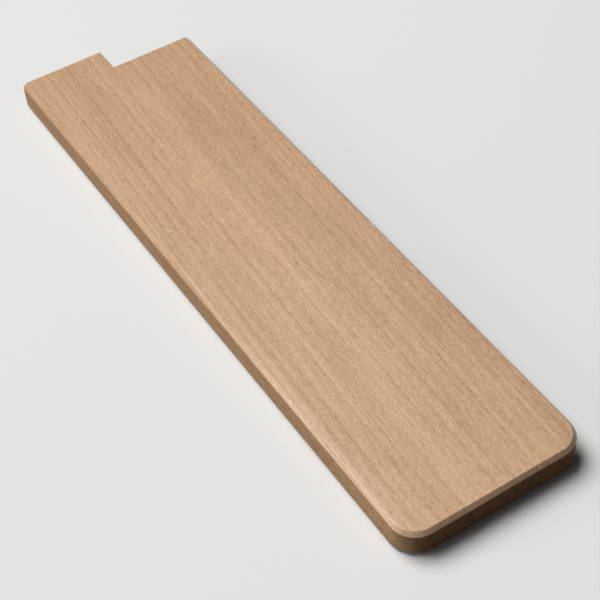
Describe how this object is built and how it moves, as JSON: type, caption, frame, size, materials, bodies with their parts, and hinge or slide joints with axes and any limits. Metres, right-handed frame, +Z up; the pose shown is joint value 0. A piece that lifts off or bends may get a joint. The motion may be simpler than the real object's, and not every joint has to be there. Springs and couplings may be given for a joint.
{
  "type": "knife blade guard",
  "caption": "Flat wooden slide-on sheath for a chef's knife blade, with a stepped open mouth, a bevelled rim, a rounded closed end and magnets hidden in its planks.",
  "frame": {"origin": "centre of the bounding box of the guard, on the face that it lies on", "axes": "+X from the open mouth to the rounded closed end, +Y from the edge side to the spine side of the blade, +Z up, out of the face that the picture shows"},
  "size_m": [0.228, 0.06, 0.0098],
  "materials": {
    "upper_wood": "fine straight-grained tan wood, sanded and wiped with oil, satin",
    "lower_wood": "the same wood from a slightly paler board, satin",
    "magnet_nickel": "bright nickel plating"
  },
  "bodies": {
    "root": {"upper_plank": "upper_wood", "lower_plank": "lower_wood", "upper_heel_magnet": "magnet_nickel", "upper_middle_magnet": "magnet_nickel", "upper_tip_magnet": "magnet_nickel", "lower_heel_magnet": "magnet_nickel", "lower_middle_magnet": "magnet_nickel", "lower_tip_magnet": "magnet_nickel"}
  },
  "joints": []
}
